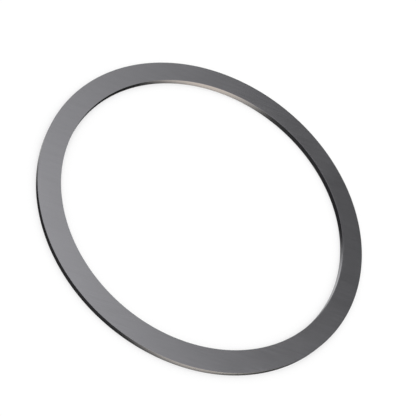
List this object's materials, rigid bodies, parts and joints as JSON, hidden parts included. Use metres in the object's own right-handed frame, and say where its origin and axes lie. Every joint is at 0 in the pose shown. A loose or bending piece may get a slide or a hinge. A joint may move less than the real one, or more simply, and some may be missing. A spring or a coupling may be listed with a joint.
{
  "type": "flat ring washer",
  "caption": "Thin flat steel ring washer with a wide plain bore and a narrow face, used as a shim or spacer between a shoulder and a bearing or retaining ring.",
  "frame": {"origin": "centre of the bore at the lower face, on which the ring lies", "axes": "+Z along the bore axis, out of the upper face; X and Y along any two radii"},
  "size_m": [0.062, 0.062, 0.0011],
  "materials": {
    "steel": "satin"
  },
  "bodies": {
    "root": {"washer": "steel"}
  },
  "joints": []
}
